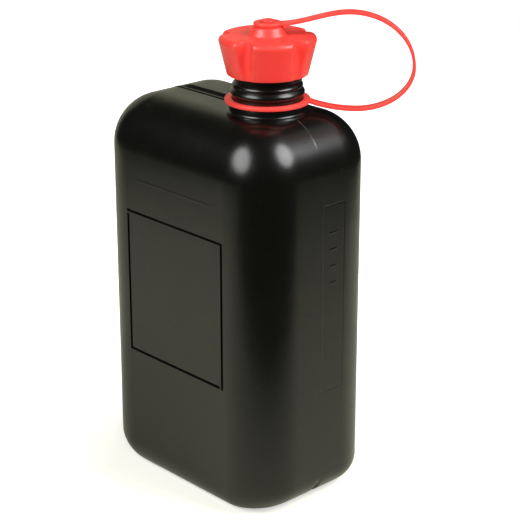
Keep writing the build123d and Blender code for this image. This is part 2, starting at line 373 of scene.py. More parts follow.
def raised(a, b, span_a, span_b, soft):
    """1 inside a rectangle, 0 outside, with ramps of width soft on its edges."""
    inside = min(a - span_a[0], span_a[1] - a, b - span_b[0], span_b[1] - b)
    return clamped(inside / soft + 0.5)


class Shell:
    """The can's outer surface: a rounded box on a grid whose lines follow its fine moulded detail."""

    # Spacing of the plain grid lines along the width, the thickness and the height
    apart = (2.6 * MM, 2.2 * MM, 6.5 * MM)
    # Widths of the ramps on the edges of the label's line, the brow line, the panel and its ticks
    slope = 0.2 * MM
    brow_soft = 0.5 * MM
    panel_soft = 1.0 * MM
    tick_soft = 0.4 * MM
    # Half width of the brow line and of a tick, and the brow line's height
    fine, brow_height = 0.5 * MM, 0.03 * MM
    # The panel's top line, its other lines, its field and its ticks, in depths of the panel
    top_line, side_line, field, tick_height = 2.8, 0.8, 0.4, 0.8
    # Where the ticks lie along the thickness, and their heights
    tick_ys = (6.0 * MM, 11.0 * MM)
    tick_rows = [(127.0 + 9.3 * i) * MM for i in range(4)]
    # Half width of the parting line's fin, and the share of its height that the trimming leaves on the wall
    seam_reach, trimmed = 0.55 * MM, 0.06
    # The groove's edges are rounded over a length. Its weld ridge has a flat, a reach and a depth that it starts at.
    groove_round, weld_flat, weld_reach, weld_depth = 0.5 * MM, 0.3 * MM, 1.05 * MM, 0.8 * MM
    # The nick fades out between two shares of the foot's height, and lifts it by a share of what it cuts in.
    nick_low, nick_high, nick_lift = 0.3, 0.85, 0.5
    # The grid lines that follow the groove's walls, in mm from its middle
    trough = (1.6, 2.4, 3.2, 4.0, 4.6, 5.1, 5.6, 6.2, 7.0)
    # The top is open inside this radius round the neck's axis.
    neck_hole = 17.4 * MM
    foot_steps, shoulder_steps, arc_steps = 10, 22, 20

    def __init__(self, size):
        self.size = s = size
        self.flat_x = s.width / 2 - s.corner
        self.flat_y = s.depth / 2 - s.corner
        self.panel_ys = (1.6 * MM, self.flat_y - 0.8 * MM)
        half = s.label_line / 2
        wide, tall, middle = s.label_width / 2, s.label_height / 2, s.label_middle

        edges = (wide - half, wide + half, wide - half - s.label_gap)
        across = [v for e in edges for v in step_lines(e, self.slope)]
        across += step_lines(s.brow_length / 2, self.brow_soft)
        # The base's rows are narrower than the wall's, so its own steps are set wider here.
        widen = self.flat_x / (s.width / 2 - s.foot_end - (s.corner - (s.foot_end + s.foot_side) / 2))
        across += [(s.tray_apart + v) * widen for v in (0.0, s.tray_rise)]
        self.xs = lines(-self.flat_x, self.flat_x, self.apart[0], both_ways(across))

        seam = [self.seam_reach * i / 3 for i in range(4)] + [0.75 * MM, self.weld_reach]
        deep = both_ways(seam) + both_ways([v * MM for v in self.trough])
        deep += [v for e in self.panel_ys for v in step_lines(e, self.panel_soft) + [e]]
        deep += [v for e in self.tick_ys for v in step_lines(e, self.tick_soft)]
        self.ys = lines(-self.flat_y, self.flat_y, self.apart[1], deep)

        up = [v for side in (-1, 1) for h in (-half, half) for v in step_lines(middle + side * tall + h, self.slope)]
        up += step_lines(middle + tall - half - s.label_gap, self.slope)
        for level, soft in [(s.brow_z, self.brow_soft)] + [(t, self.tick_soft) for t in self.tick_rows]:
            up += step_lines(level - self.fine, soft) + step_lines(level + self.fine, soft)
        up += [v for e in (s.panel_low, s.panel_high) for v in step_lines(e, self.panel_soft) + [e]]
        self.zs = lines(s.foot_height, s.height - s.corner, self.apart[2], up)

    def profile(self):
        """Rows from the base up, as (kind, value): an inset, an angle in the foot, a height, a shoulder angle."""
        quarter = math.pi / 2
        rows = [("base", self.size.tray_inset + self.size.tray_rise), ("base", self.size.tray_inset)]
        rows += [("foot", quarter * i / self.foot_steps) for i in range(self.foot_steps)]
        rows += [("wall", z) for z in self.zs]
        return rows + [("shoulder", quarter * i / self.shoulder_steps) for i in range(1, self.shoulder_steps + 1)]

    def row(self, kind, value):
        """The rounded outline of one row: half sizes of its straight part, corner radius and height."""
        s = self.size
        if kind == "base":
            flat_x, flat_y, radius, z = self.row("foot", 0.0)
            return flat_x, flat_y, radius - value, z
        if kind == "foot":
            tuck = 1 - math.sin(value)
            end, side = s.foot_end * tuck, s.foot_side * tuck
            radius = s.corner - (end + side) / 2
            z = s.foot_height * (1 - math.cos(value))
            return s.width / 2 - end - radius, s.depth / 2 - side - radius, radius, z
        if kind == "wall":
            return self.flat_x, self.flat_y, s.corner, value
        return self.flat_x, self.flat_y, s.corner * math.cos(value), s.height - s.corner + s.corner * math.sin(value)

    def outline(self):
        """The columns round the can, as (face, value), anticlockwise from the front's -X end."""
        columns = []
        sides = (("front", self.xs), ("right", self.ys), ("back", self.xs[::-1]), ("left", self.ys[::-1]))
        for quarter, (face, values) in enumerate(sides):
            columns += [(face, v) for v in values]
            columns += [("corner", (quarter, i / self.arc_steps)) for i in range(1, self.arc_steps)]
        return columns

    def point(self, column, row):
        """The plain surface point of a column in a row, and its outward direction."""
        face, value = column
        kind, level = row
        flat_x, flat_y, radius, z = self.row(kind, level)
        grow_x, grow_y = flat_x / self.flat_x, flat_y / self.flat_y
        if face in ("front", "back"):
            side = -1 if face == "front" else 1
            place, out = (value * grow_x, side * (flat_y + radius)), (0, side)
        elif face in ("right", "left"):
            side = 1 if face == "right" else -1
            place, out = (side * (flat_x + radius), value * grow_y), (side, 0)
        else:
            quarter, share = value
            angle = math.pi / 2 * (quarter + share - 1)
            out = (math.cos(angle), math.sin(angle))
            corner = ((1, -1), (1, 1), (-1, 1), (-1, -1))[quarter]
            place = (corner[0] * flat_x + radius * out[0], corner[1] * flat_y + radius * out[1])
        lean = {"base": -1.0, "foot": -math.cos(level), "wall": 0.0, "shoulder": math.sin(level)}[kind]
        flat = math.sqrt(1 - lean * lean)
        return Vector((place[0], place[1], z)), Vector((out[0] * flat, out[1] * flat, lean))

    def front_detail(self, x, z):
        """Height of the label frame's steep-sided line and of the fine raised line over the front face."""
        s = self.size
        half, soft = s.label_line / 2, self.slope
        wide, tall, up = s.label_width / 2, s.label_height / 2, z - s.label_middle
        line = clamped((half - abs(max(abs(x) - wide, abs(up) - tall))) / soft + 0.5)
        gap_high, gap_low = tall - half - s.label_gap, wide - half - s.label_gap
        left_break = raised(x, up, (-wide - 2 * half, -wide + 2 * half), (gap_high, tall - half), soft)
        low_break = raised(x, up, (gap_low, wide - half), (-tall - 2 * half, -tall + 2 * half), soft)
        reach = s.brow_length / 2
        brow = raised(x, z, (-reach, reach), (s.brow_z - self.fine, s.brow_z + self.fine), self.brow_soft)
        return -s.label_depth * line * (1 - max(left_break, low_break)) + self.brow_height * brow

    def end_detail(self, y, z):
        """Height of the level panel and its plain ticks over the +X end."""
        s = self.size
        inside = min(y - self.panel_ys[0], self.panel_ys[1] - y, z - s.panel_low, s.panel_high - z)
        line = max(1 - abs(inside) / (self.panel_soft / 2), 0.0)
        strong = self.top_line if inside == s.panel_high - z else self.side_line
        tick = max(raised(y, z, self.tick_ys, (t - self.fine, t + self.fine), self.tick_soft) for t in self.tick_rows)
        field = self.field * (1 - line) if inside > 0 else 0.0
        return s.panel_depth * (self.tick_height * tick - line * strong - field)

    def seam(self, y, z):
        """Height of the parting line's rounded fin, which was trimmed closer on the wall than on the shoulder."""
        if abs(y) >= self.seam_reach:
            return 0.0
        trim = self.trimmed + (1 - self.trimmed) * smooth_step(TRIM_LOW, TRIM_HIGH, z)
        return self.size.seam_height * trim * (1 + math.cos(math.pi * y / self.seam_reach)) / 2

    def tray(self, x):
        """Height of the two trays over the base, on either side of the flat band in its middle."""
        s = self.size
        return min(max(abs(x) - s.tray_apart, 0.0), s.tray_rise)

    def nick(self, point):
        """The point raised into the pinch-off nick at the ends of the foot."""
        s = self.size
        x, y, z = point
        if abs(y) >= s.nick_width / 2 or abs(x) < self.flat_x or z > s.foot_height:
            return point
        fade = 1 - smooth_step(self.nick_low, self.nick_high, z / s.foot_height)
        depth = s.nick_depth * (1 - 2 * abs(y) / s.nick_width) * fade
        return Vector((x - math.copysign(depth, x), y, z + self.nick_lift * depth))

    def groove(self, point):
        """The point lowered into the pinch-off groove, which runs from the -X shoulder to the neck."""
        s = self.size
        x, y, z = point
        radius = (s.groove_width ** 2 / 4 + s.groove_depth ** 2) / (2 * s.groove_depth)
        if x > NECK_X or z < s.height - s.corner or abs(y) >= radius:
            return point
        floor = s.height - s.groove_depth + radius - math.sqrt(radius * radius - y * y)
        weld = s.weld_height * (1 - smooth_step(self.weld_flat, self.weld_reach, abs(y)))
        lowered = smooth_least(z, floor, self.groove_round)
        return Vector((x, y, lowered + weld * smooth_step(0.0, self.weld_depth, z - lowered)))

    def build(self):
        """The closed outer skin as a bmesh, open only under the neck."""
        mesh = bmesh.new()
        columns, rows = self.outline(), self.profile()
        grid = []
        for kind, level in rows:
            ring = []
            for face, value in columns:
                spot, out = self.point((face, value), (kind, level))
                height = 0.0
                if kind == "wall" and face == "front":
                    height = self.front_detail(spot.x, spot.z)
                elif kind == "wall" and face == "right":
                    height = self.end_detail(spot.y, spot.z)
                if face in ("right", "left"):
                    height += self.seam(spot.y, spot.z)
                spot = self.groove(spot + out * height)
                if kind == "foot":
                    spot = self.nick(spot)
                elif kind == "base" and level > self.size.tray_inset:
                    spot.z += self.tray(spot.x)
                ring.append(mesh.verts.new(spot))
            grid.append(ring)
        for low, high in zip(grid, grid[1:]):
            for i in range(len(columns)):
                mesh.faces.new((low[i - 1], low[i], high[i], high[i - 1]))
        self.close(mesh, grid[0], columns, rows[0], base=True)
        self.close(mesh, grid[-1], columns, rows[-1], base=False)
        bmesh.ops.remove_doubles(mesh, verts=mesh.verts, dist=0.002 * MM)
        bmesh.ops.recalc_face_normals(mesh, faces=mesh.faces)
        return mesh

    def close(self, mesh, ring, columns, row, base):
        """Closes the base or the top with a flat grid that meets the last row's points."""
        flat_x, flat_y, _, z = self.row(*row)
        xs, ys = self.xs, self.ys
        patch = {}
        for x in xs:
            for y in ys:
                spot = Vector((x * flat_x / self.flat_x, y * flat_y / self.flat_y, z))
                if base:
                    spot.z += self.tray(spot.x)
                else:
                    spot.z += self.seam(y, z)
                    spot = self.groove(spot)
                patch[(x, y)] = mesh.verts.new(spot)
        for x0, x1 in zip(xs, xs[1:]):
            for y0, y1 in zip(ys, ys[1:]):
                middle = Vector(((x0 + x1) / 2 - NECK_X, (y0 + y1) / 2))
                if base or middle.length > self.neck_hole:
                    mesh.faces.new((patch[(x0, y0)], patch[(x1, y0)], patch[(x1, y1)], patch[(x0, y1)]))

        # Each point of the ring is joined to the nearest point on the grid's edge.
        west, east, south, north = xs[0], xs[-1], ys[0], ys[-1]
        corners = ((east, south), (east, north), (west, north), (west, south))
        homes = []
        for side, value in columns:
            sides = {"front": (value, south), "right": (east, value), "back": (value, north), "left": (west, value)}
            homes.append(patch[corners[value[0]] if side == "corner" else sides[side]])
        for i in range(len(columns)):
            add_face(mesh, ring[i - 1], ring[i], homes[i], homes[i - 1])


class FUELCAN_OT_shell(bpy.types.Operator):
    """Builds the blow-moulded shell with its parting line, pinch-off groove, label frame and level panel"""

    bl_idname = "fuelcan.shell"
    bl_label = "Shell"

    def execute(self, context):
        scene = context.scene
        work = placed("shell_work", as_mesh("shell_work", Shell(scene.fuelcan_shell).build()))
        wall = work.modifiers.new("wall", "SOLIDIFY")
        wall.thickness = scene.fuelcan_shell.wall
        wall.offset = -1
        mesh = bpy.data.meshes.new_from_object(work.evaluated_get(context.evaluated_depsgraph_get()))
        mesh.name = "can_shell"
        bpy.data.objects.remove(work)
        piece("can_shell", mesh, blown_hdpe(scene.fuelcan_finish), "can", ["can_body"])
        return {"FINISHED"}


def lathe(name, points, steps, radius_at=None):
    """A mesh turned round the neck's axis from (radius, height) points. radius_at(angle, index) changes a radius."""
    mesh = bmesh.new()
    rings = []
    for k, (radius, z) in enumerate(points):
        if radius == 0:
            rings.append([mesh.verts.new((NECK_X, 0.0, z))])
            continue
        ring = []
        for i in range(steps):
            angle = TAU * i / steps
            r = radius_at(angle, k) if radius_at else radius
            ring.append(mesh.verts.new((NECK_X + r * math.cos(angle), r * math.sin(angle), z)))
        rings.append(ring)
    if len(rings[0]) > 1:
        rings.append(rings[0])
    for low, high in zip(rings, rings[1:]):
        for i in range(steps):
            j = (i + 1) % steps
            add_face(mesh, low[i % len(low)], low[j % len(low)], high[j % len(high)], high[i % len(high)])
    bmesh.ops.recalc_face_normals(mesh, faces=mesh.faces)
    return as_mesh(name, mesh)


def arc_points(centre, radius, start, end, steps):
    """(radius, height) points along an arc, angles in degrees."""
    angles = [math.radians(start + (end - start) * i / steps) for i in range(steps + 1)]
    return [(centre[0] + radius * math.cos(a), centre[1] + radius * math.sin(a)) for a in angles]


def bead(low, high, out, steps=8):
    """A round bead between two (radius, height) points that stands out to a radius."""
    points = []
    for i in range(steps + 1):
        share = i / steps
        base = low[0] + (high[0] - low[0]) * share
        swell = (out - (low[0] + high[0]) / 2) * math.sin(math.pi * share)
        points.append((base + swell, low[1] + (high[1] - low[1]) * share))
    return points


def eased(corner, before, after, size):
    """Three points that ease a corner, coming along one direction and going on along another."""
    size *= MM
    middle = (before[0] + after[0], before[1] + after[1])
    steps = ((before, size), (middle, 0.3 * size), (after, size))
    return [(corner[0] + way[0] * reach, corner[1] + way[1] * reach) for way, reach in steps]


# Ways along a turned outline, as (radius, height)
IN, OUT, DOWN, UP = (-1, 0), (1, 0), (0, -1), (0, 1)


class FUELCAN_OT_neck(bpy.types.Operator):
    """Builds the neck with its root, ledge, beads, bore and thread"""

    bl_idname = "fuelcan.neck"
    bl_label = "Neck"

    # Where the thread starts round the neck, and the shares of its length in which it grows and runs out
    first_turn = math.radians(-100)
    growth, runout = 0.09, 0.07

    def execute(self, context):
        scene = context.scene
        neck, top = scene.fuelcan_neck, scene.fuelcan_shell.height
        waist = neck.core + 0.8 * MM
        ledge = top + neck.root_height
        seat_top = ledge + neck.seat_height
        low_top = seat_top + neck.low_bead
        high_top = low_top + neck.high_bead
        foot = neck.root + neck.flare

        # The foot is sunk into the top, where the shell is open, and sweeps up to the root.
        sunk, buried = top - 3.2 * MM, top - 0.9 * MM
        points = [(neck.bore, sunk), (foot - 0.6 * MM, sunk), (foot, buried)]
        points += arc_points((foot, top + neck.flare - 0.1 * MM), neck.flare, 270, 180, 8)[1:]
        points += eased((neck.root, ledge), DOWN, IN, 0.4)
        points += [(neck.seat + 0.25 * MM, ledge), (neck.seat, ledge + 0.25 * MM)]
        points += bead((neck.seat, seat_top), (waist, low_top), neck.low_bead_radius)
        points += bead((waist, low_top), (neck.core, high_top), neck.high_bead_radius)[1:]
        points += [(neck.core, high_top + (RIM_Z - high_top) * i / 4) for i in range(1, 4)]
        points += eased((neck.core, RIM_Z), DOWN, IN, 0.6)
        points += eased((neck.bore, RIM_Z), OUT, DOWN, 0.4)
        points += [(neck.bore, top + 12 * MM), (neck.bore, top)]
        material = bpy.data.materials["black_blown_hdpe"]
        piece("neck", lathe("neck", points, 128), material, "can")
        piece("neck_thread", self.thread(neck, low_top + 1.6 * MM, material), material, "can")
        return {"FINISHED"}

    def thread(self, neck, start, material):
        """The thread: a ridge swept along a helix that rises one pitch in each turn and runs out at both ends."""
        sizes = {
            "Core": neck.core - 0.05 * MM, "Pitch": neck.pitch, "Turns": neck.turns, "Start": start,
            "Height": 2 * neck.thread_depth, "Foot": neck.thread_foot, "Crest": neck.thread_crest,
        }
        tree, given = new_tree("neck_thread", dict.fromkeys(sizes, "Float"))
        rise = node(tree, "ShaderNodeMath", {0: given["Pitch"], 1: given["Turns"]}, operation="MULTIPLY")
        helix = node(tree, "GeometryNodeCurveSpiral", {
            "Rotations": given["Turns"], "Start Radius": given["Core"], "End Radius": given["Core"],
            "Height": rise.outputs[0], "Resolution": 72,
        })
        along = node(tree, "GeometryNodeSplineParameter").outputs["Factor"]
        # The ridge starts and ends at a twentieth of its size.
        swell = node(tree, "ShaderNodeMapRange", {"Value": along, "From Max": self.growth, "To Min": 0.05})
        fade = node(tree, "ShaderNodeMapRange", {
            "Value": along, "From Min": 1.0, "From Max": 1 - self.runout, "To Min": 0.05,
        })
        scale = node(tree, "ShaderNodeMath", {
            0: swell.outputs["Result"], 1: fade.outputs["Result"],
        }, operation="MINIMUM")
        section = node(tree, "GeometryNodeCurvePrimitiveQuadrilateral", {
            "Height": given["Height"], "Bottom Width": given["Foot"], "Top Width": given["Crest"], "Offset": 0.0,
        }, mode="TRAPEZOID")
        fillet = node(tree, "GeometryNodeFilletCurve", {
            "Curve": section.outputs["Curve"], "Radius": 0.35 * MM,
        }, mode="POLY")
        swept = node(tree, "GeometryNodeCurveToMesh", {
            "Curve": helix.outputs["Curve"], "Profile Curve": fillet.outputs["Curve"],
            "Scale": scale.outputs[0], "Fill Caps": True,
        })
        lift = node(tree, "ShaderNodeCombineXYZ", {"X": NECK_X, "Z": given["Start"]})
        turned = node(tree, "GeometryNodeTransform", {
            "Geometry": swept.outputs["Mesh"], "Translation": lift.outputs["Vector"],
            "Rotation": (0.0, 0.0, self.first_turn),
        })
        return grown(tree, given, turned.outputs["Geometry"], sizes | {"Material": material})


def new_tree(name, inputs):
    """A geometry node tree with named inputs and one for its material, and those inputs' sockets."""
    tree = bpy.data.node_groups.new(name, "GeometryNodeTree")
    for label, kind in (inputs | {"Material": "Material"}).items():
        tree.interface.new_socket(label, in_out="INPUT", socket_type="NodeSocket" + kind)
    tree.interface.new_socket("Geometry", in_out="OUTPUT", socket_type="NodeSocketGeometry")
    return tree, node(tree, "NodeGroupInput").outputs


def grown(tree, given, shape, values):
    """The plain mesh that a geometry node tree makes of a shape with these values of its named inputs."""
    real = node(tree, "GeometryNodeRealizeInstances", {"Geometry": shape})
    painted = node(tree, "GeometryNodeSetMaterial", {
        "Geometry": real.outputs["Geometry"], "Material": given["Material"],
    })
    node(tree, "NodeGroupOutput", {"Geometry": painted.outputs["Geometry"]})
    host = placed(tree.name + "_work", bpy.data.meshes.new(tree.name + "_work"))
    modifier = host.modifiers.new(tree.name, "NODES")
    modifier.node_group = tree
    for item in tree.interface.items_tree:
        if item.in_out == "INPUT":
            modifier[item.identifier] = values[item.name]
    host.update_tag()
    mesh = bpy.data.meshes.new_from_object(host.evaluated_get(bpy.context.evaluated_depsgraph_get()))
    mesh.name = tree.name
    host.modifiers.remove(modifier)
    bpy.data.objects.remove(host)
    return mesh


# Outlines of the boss's foot, from the crown up, and of its top with the button, from the boss's top up, in mm
BOSS_FOOT = ((10.6, 0), (9.8, 0.25), (9.35, 0.9))
BUTTON = (
    (8.1, -1), (7.8, -0.45), (7.3, -0.1), (6.7, 0), (2.6, 0), (2.6, 2.4), (3.5, 2.4), (3.7, 2.6), (3.6, 2.95),
    (3.1, 3.25), (2, 3.38), (0, 3.4),
)


class FUELCAN_OT_cap(bpy.types.Operator):
    """Builds the screw cap with its grip lobes, boss and button, and the gasket inside it"""

    bl_idname = "fuelcan.cap"
    bl_label = "Cap"

    # The lobes shape the crown outside this radius, and the skirt has this many rows.
    flat_radius, rows = 12.5 * MM, 14
    # A valley leans in by a share of its height, its flanks rise by a share, and its edges are rounded over a length.
    lean, flank, rounding = 0.09, 2.4, 3.4 * MM

    def execute(self, context):
        finish, cap = context.scene.fuelcan_finish, context.scene.fuelcan_cap
        material = moulded_red("red_moulded_hdpe", finish.cap_colour, 0.36)
        piece("cap", self.cap_mesh(cap), material, "cap", ["screw_cap"])
        gasket = lathe("gasket", self.gasket(cap.seal_hole, (SEAL_HIGH.x - SEAL_LOW.x) / 2, 0.25 * MM), 96)
        piece("gasket", gasket, seal_rubber(finish), "cap", ["cap_seal"])
        return {"FINISHED"}

    def cap_mesh(self, cap):
        """The cap's closed mesh, turned from its outline and drawn in between its lobes."""
        # The lower edge is rounded, the skirt widens up to the lobes' round tops, and the crown is flat.
        low, high = CAP_BOTTOM + 0.9 * MM, CROWN_Z - cap.lip
        skirt = [(cap.skirt - inset * MM, CAP_BOTTOM + up * MM) for inset, up in ((1.5, 0), (0.7, 0.08), (0.2, 0.4))]
        shares = [i / self.rows for i in range(self.rows)]
        outer = skirt + [(cap.skirt + (cap.grip - cap.skirt) * s, low + (high - low) * s) for s in shares]
        outer += arc_points((cap.grip - cap.lip, high), cap.lip, -5, 90, 12)
        crown = (cap.grip - cap.lip - 2 * MM, 17 * MM, 14 * MM, 12 * MM)
        outer += [(radius, CROWN_Z) for radius in crown]
        stem = [(r * MM, CROWN_Z + z * MM) for r, z in BOSS_FOOT] + [(r * MM, BOSS_TOP + z * MM) for r, z in BUTTON]
        inner = [(cap.bore + 0.5 * MM, CAP_BOTTOM), (cap.bore, CAP_BOTTOM + 0.8 * MM)]
        inner += [(cap.bore, SEAL_HIGH.z - 0.4 * MM), (cap.bore - 0.4 * MM, SEAL_HIGH.z), (0.0, SEAL_HIGH.z)]
        points = stem[::-1] + outer[::-1] + inner
        lobed = range(len(stem), len(stem) + len(outer))

        def radius_at(angle, index):
            """The radius of the lobed outside, and the plain radius elsewhere."""
            radius, z = points[index]
            if index not in lobed or radius <= self.flat_radius:
                return radius
            return smooth_least(radius, self.valley(cap, angle) - self.lean * (z - CAP_BOTTOM), self.rounding)

        return lathe("cap", points, 200, radius_at)

    def valley(self, cap, angle):
        """The radius that the valleys between the lobes leave at an angle: round at the bottom, then straight."""
        turn = (angle * cap.lobes / TAU + 0.5) % 1.0 - 0.5
        away = turn * TAU / cap.lobes
        centre = cap.valley + cap.scoop
        beside = centre * abs(math.sin(away))
        if beside < cap.scoop:
            return centre * math.cos(away) - math.sqrt(cap.scoop ** 2 - beside ** 2)
        return centre * math.cos(away) + self.flank * (beside - cap.scoop)

    def gasket(self, hole, out, edge):
        """The gasket's outline with its broken edges."""
        low, high = SEAL_LOW.z, SEAL_HIGH.z
        return [
            (hole + edge, low), (out - edge, low), (out, low + edge), (out, high - edge),
            (out - edge, high), (hole + edge, high), (hole, high - edge), (hole, low + edge),
        ]


class FUELCAN_OT_strap(bpy.types.Operator):
    """Builds the retaining strap: its ring on the neck, its looped band and its eye on the cap's button"""

    bl_idname = "fuelcan.strap"
    bl_label = "Strap"

    def execute(self, context):
        scene = context.scene
        strap = scene.fuelcan_strap
        ring_low = scene.fuelcan_shell.height + strap.ring_height
        ring_high = ring_low + strap.ring_thickness
        eye_low = BOSS_TOP + strap.eye_height
        eye_high = eye_low + strap.eye_thickness
        material = moulded_red("red_flexible_hdpe", scene.fuelcan_finish.strap_colour, 0.4)
        path = self.path(strap, (ring_low + ring_high) / 2, (eye_low + eye_high) / 2)
        parts = [
            self.band(strap, path, material),
            self.washer(strap.ring_hole, strap.ring_radius, ring_low, ring_high),
            self.washer(strap.eye_hole, strap.eye_radius, eye_low, eye_high),
        ]
        built = bmesh.new()
        for part in parts:
            built.from_mesh(part)
            bpy.data.meshes.remove(part)
        made = piece("strap", as_mesh("strap", built), material, None, ["retaining_strap"])
        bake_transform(made)
        return {"FINISHED"}

    def washer(self, hole, out, low, high):
        """A flat ring with an eased outer edge and a broken inner one."""
        edge = 0.2 * MM
        section = [(hole + edge, low)] + eased((out, low), IN, UP, 0.5) + eased((out, high), DOWN, IN, 0.5)
        section += [(hole + edge, high), (hole, high - edge), (hole, low + edge)]
        return lathe("washer", section, 128)

    def path(self, strap, ring_z, eye_z):
        """The band's centre line in the loop's upright plane."""
        far_z, low_z, high_z = ring_z + strap.middle, ring_z - strap.drop, eye_z + strap.rise
        # The band starts inside the ring and ends inside the eye.
        inside = 2 * MM
        start, end = (strap.ring_radius - inside, ring_z), (strap.eye_radius - inside, eye_z)
        low, high = (strap.low_x, low_z), (strap.high_x, high_z)
        leave, settle, back = (25 * MM, -9 * MM), (25 * MM, 0), (-36 * MM, 0)
        # Points in each nearly straight run and in each quarter of the loop
        runs, arcs = 16, 28
        points = [hermite(start, low, leave, settle, i / runs) for i in range(runs)]
        for (x, _), tall, first in ((low, far_z - low_z, -1), (high, high_z - far_z, 0)):
            for i in range(arcs):
                turn = math.pi / 2 * (first + i / arcs)
                points.append((x + (strap.far_x - x) * math.cos(turn), far_z + tall * math.sin(turn)))
        points += [hermite(high, end, back, back, i / runs) for i in range(runs + 1)]
        along = Vector((math.cos(strap.heading), math.sin(strap.heading), 0))
        return [Vector((NECK_X, 0, z)) + along * away for away, z in points]

    def band(self, strap, path, material):
        """The flat band, swept along its centre line."""
        curve = bpy.data.curves.new("band_path", "CURVE")
        curve.dimensions = "3D"
        spline = curve.splines.new("POLY")
        spline.points.add(len(path) - 1)
        for target, spot in zip(spline.points, path):
            target.co = (*spot, 1.0)
        line = placed("band_path", curve)
        tree, given = new_tree("strap_band", {"Path": "Object", "Width": "Float", "Thickness": "Float"})
        section = node(tree, "GeometryNodeCurvePrimitiveQuadrilateral", {
            "Width": given["Width"], "Height": given["Thickness"],
        }, mode="RECTANGLE")
        fillet = node(tree, "GeometryNodeFilletCurve", {
            "Curve": section.outputs["Curve"], "Radius": 0.35 * MM, "Count": 3,
        }, mode="POLY")
        info = node(tree, "GeometryNodeObjectInfo", {"Object": given["Path"]})
        turned = node(tree, "GeometryNodeSetCurveNormal", {
            "Curve": info.outputs["Geometry"], "Normal": (math.sin(strap.heading), -math.cos(strap.heading), 0.0),
        }, mode="FREE")
        swept = node(tree, "GeometryNodeCurveToMesh", {
            "Curve": turned.outputs["Curve"], "Profile Curve": fillet.outputs["Curve"], "Fill Caps": True,
        })
        mesh = grown(tree, given, swept.outputs["Mesh"], {
            "Path": line, "Width": strap.band_width, "Thickness": strap.band_thickness, "Material": material,
        })
        bpy.data.objects.remove(line)
        return mesh


def hermite(start, end, start_pull, end_pull, t):
    """A point of the cubic that leaves start along start_pull and reaches end along end_pull."""
    a, b = 2 * t ** 3 - 3 * t ** 2 + 1, t ** 3 - 2 * t ** 2 + t
    c, d = -2 * t ** 3 + 3 * t ** 2, t ** 3 - t ** 2
    return tuple(a * start[i] + b * start_pull[i] + c * end[i] + d * end_pull[i] for i in range(2))


